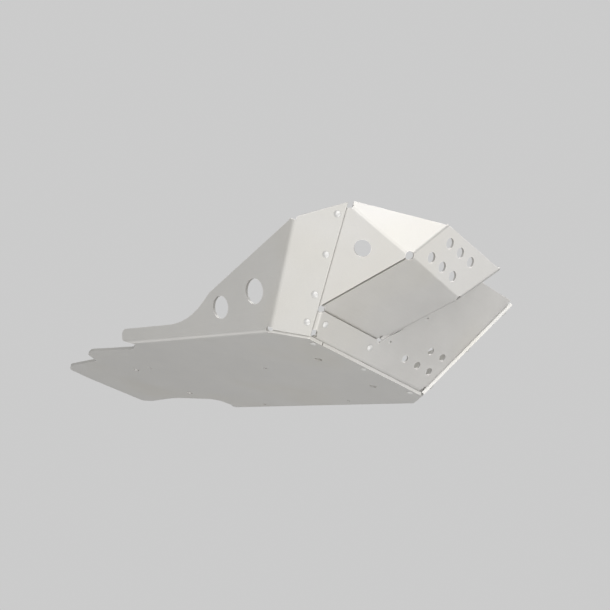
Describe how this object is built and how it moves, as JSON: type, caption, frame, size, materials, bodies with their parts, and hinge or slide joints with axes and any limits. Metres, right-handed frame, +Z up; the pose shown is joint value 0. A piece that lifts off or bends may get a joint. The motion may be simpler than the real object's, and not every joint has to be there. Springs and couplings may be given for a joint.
{
  "type": "motorcycle skid plate",
  "caption": "Folded aluminium skid plate for a motorcycle: flat bottom with side panels, front chamfers and a riveted front guard with a vented bulge.",
  "frame": {"origin": "middle of the front pair of fixing holes, on the underside of the bottom plate", "axes": "+X forward, +Y to the vehicle's left, +Z up"},
  "size_m": [0.6926, 0.3802, 0.1605],
  "materials": {
    "main_sheet": "satin, bead blasted",
    "guard_sheet": "satin, bead blasted",
    "rivet": "satin"
  },
  "bodies": {
    "root": {"main_plate": "main_sheet", "front_guard": "guard_sheet", "rivet_right_1": "rivet", "rivet_right_2": "rivet", "rivet_right_3": "rivet", "rivet_right_4": "rivet", "rivet_left_1": "rivet", "rivet_left_2": "rivet", "rivet_left_3": "rivet", "rivet_strip_right": "rivet", "rivet_strip_left": "rivet", "rivet_bottom_right": "rivet", "rivet_bottom_middle": "rivet", "rivet_bottom_left": "rivet"}
  },
  "joints": []
}
